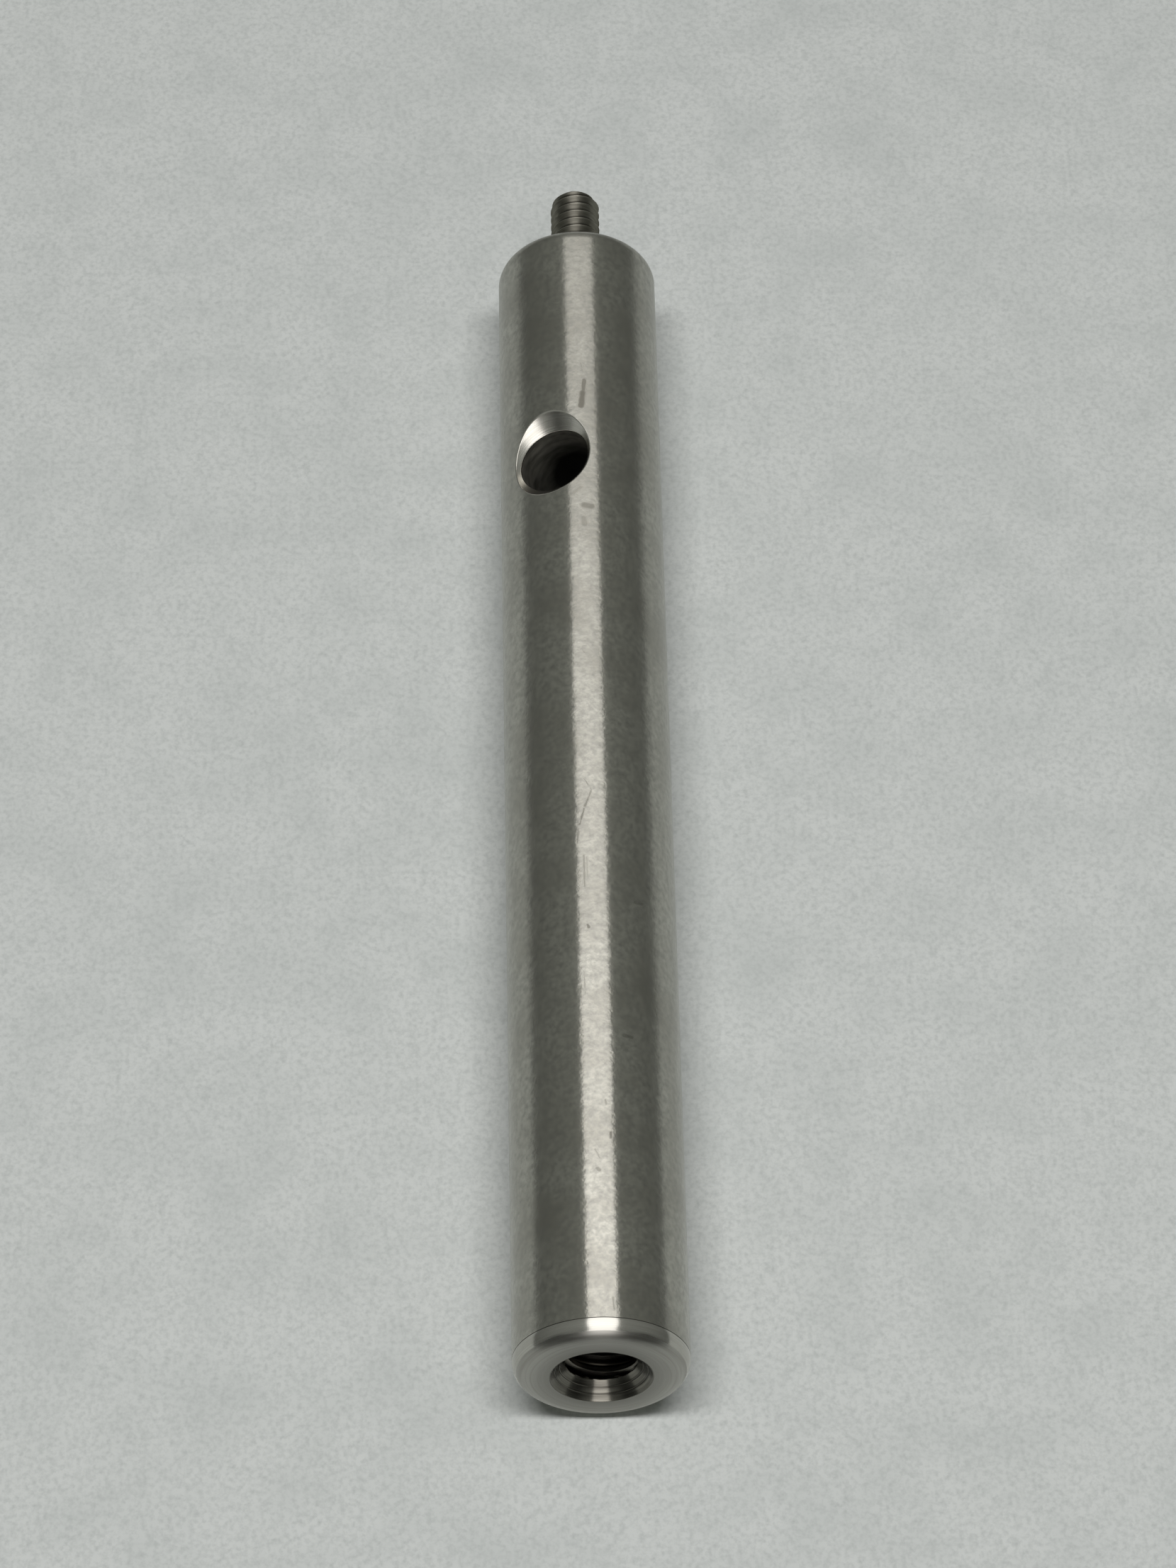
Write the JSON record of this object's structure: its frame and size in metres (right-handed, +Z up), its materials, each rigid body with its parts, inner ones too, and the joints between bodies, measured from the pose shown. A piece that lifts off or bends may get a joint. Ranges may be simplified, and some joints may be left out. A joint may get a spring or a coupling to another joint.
{
  "type": "optical post",
  "caption": "Stainless optical post with a tapped and countersunk base, a countersunk cross hole and a removable set screw as its stud.",
  "frame": {"origin": "centre of the base face, on the axis of the bar", "axes": "+Z up the axis towards the stud, +Y along the cross hole, +X across it"},
  "size_m": [0.0126, 0.0126, 0.1095],
  "materials": {
    "stainless_bar": "centreless ground, satin, with turned ends",
    "stainless_screw": "rolled thread, plain"
  },
  "bodies": {
    "bar": {"post": "stainless_bar"},
    "stud_screw": {"set_screw": "stainless_screw"}
  },
  "joints": [
    {"name": "set_screw_travel", "type": "slide", "parent": "bar", "child": "stud_screw", "axis": [0, 0, 1], "range_m": [-0.00794, 0.00238]}
  ]
}
